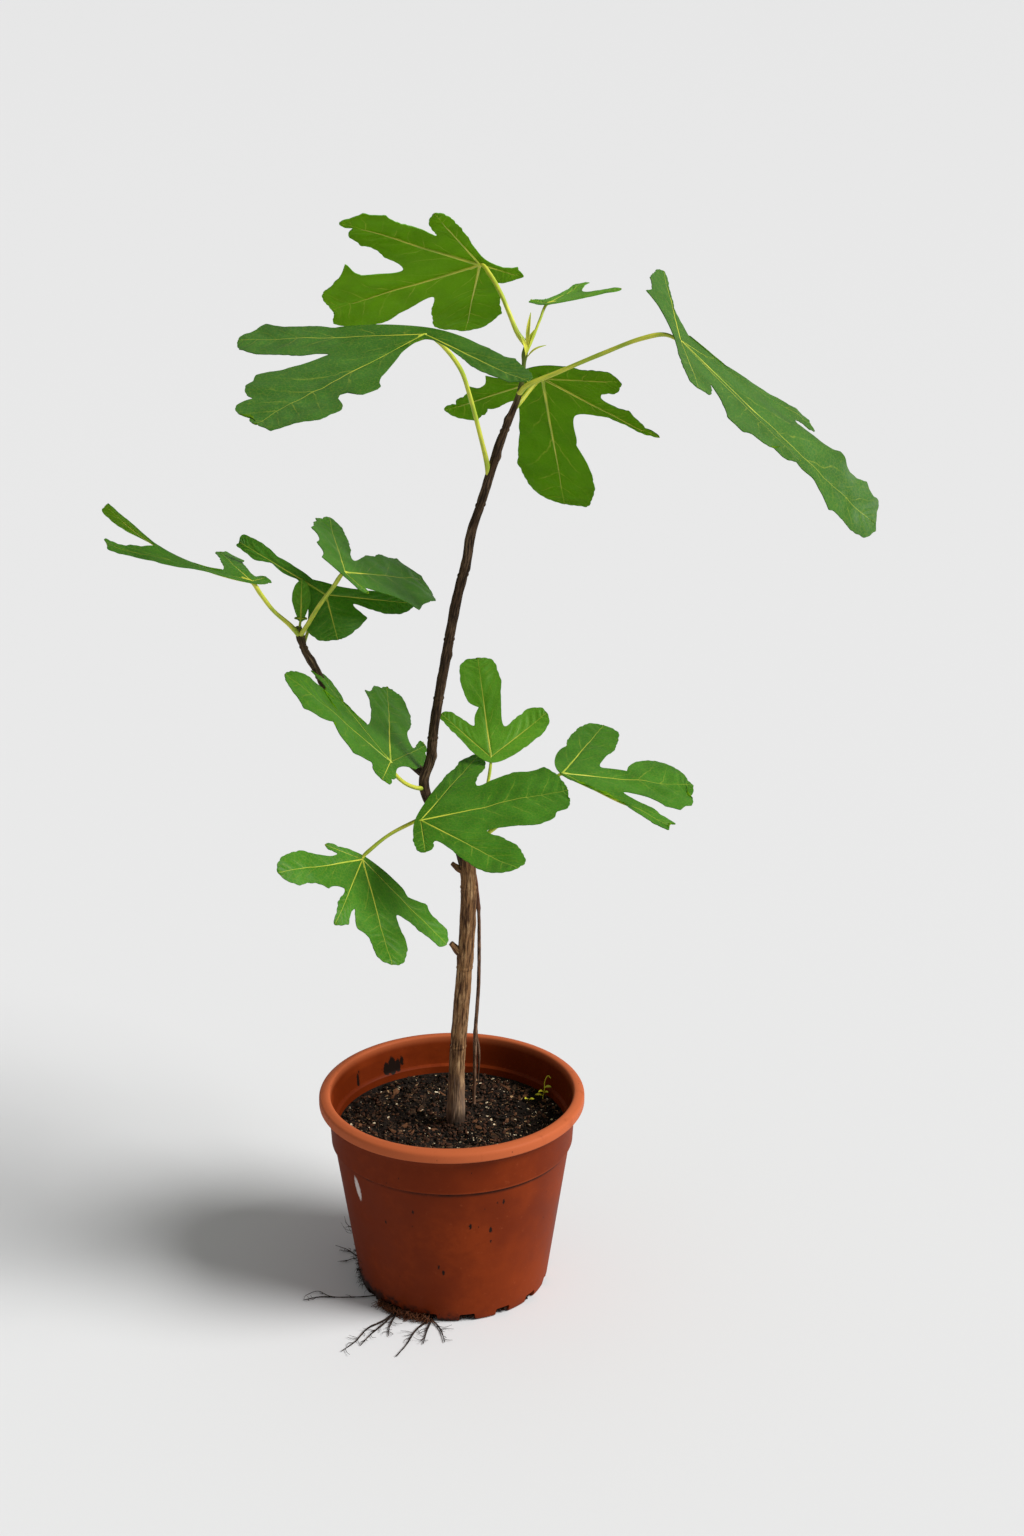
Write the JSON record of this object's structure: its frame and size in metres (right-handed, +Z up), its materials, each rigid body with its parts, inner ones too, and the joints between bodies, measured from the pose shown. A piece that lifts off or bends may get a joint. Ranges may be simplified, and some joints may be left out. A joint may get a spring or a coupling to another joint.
{
  "type": "potted fig tree",
  "caption": "Young fig tree with a slender leaning stem, one side bough and lobed leaves on long stalks, growing in a round tapered nursery pot of dark compost.",
  "frame": {"origin": "centre of the pot's flat underside", "axes": "+X right and +Y away from the viewer in the front view, +Z up"},
  "size_m": [0.64, 0.3403, 0.9682],
  "materials": {
    "pot": "satin terracotta-coloured plastic",
    "soil": "dark crumbly moist compost",
    "trunk_bark": "fibrous grey-brown bark",
    "bough_bark": "dark brown young bark",
    "dead_wood": "dry grey-brown dead wood",
    "leaf": "green fig leaf, duller teal green above and yellow-green below",
    "root": "dry black-brown root"
  },
  "bodies": {
    "root": {"pot": "pot", "soil": "soil", "trunk": "trunk_bark", "leader": "bough_bark", "left_bough": "bough_bark", "dead_shoot": "dead_wood", "leaf_top_back": "leaf", "leaf_top_left": "leaf", "leaf_top_young": "leaf", "leaf_top_right": "leaf", "leaf_upper_back": "leaf", "leaf_bough_left": "leaf", "leaf_bough_low": "leaf", "leaf_bough_right": "leaf", "leaf_bough_bud": "leaf", "leaf_mid_left": "leaf", "leaf_mid_upright": "leaf", "leaf_mid_front": "leaf", "leaf_mid_right": "leaf", "leaf_mid_low": "leaf", "drain_roots_front": "root", "drain_roots_middle": "root", "drain_roots_left": "root", "drain_roots_side": "root"}
  },
  "joints": []
}
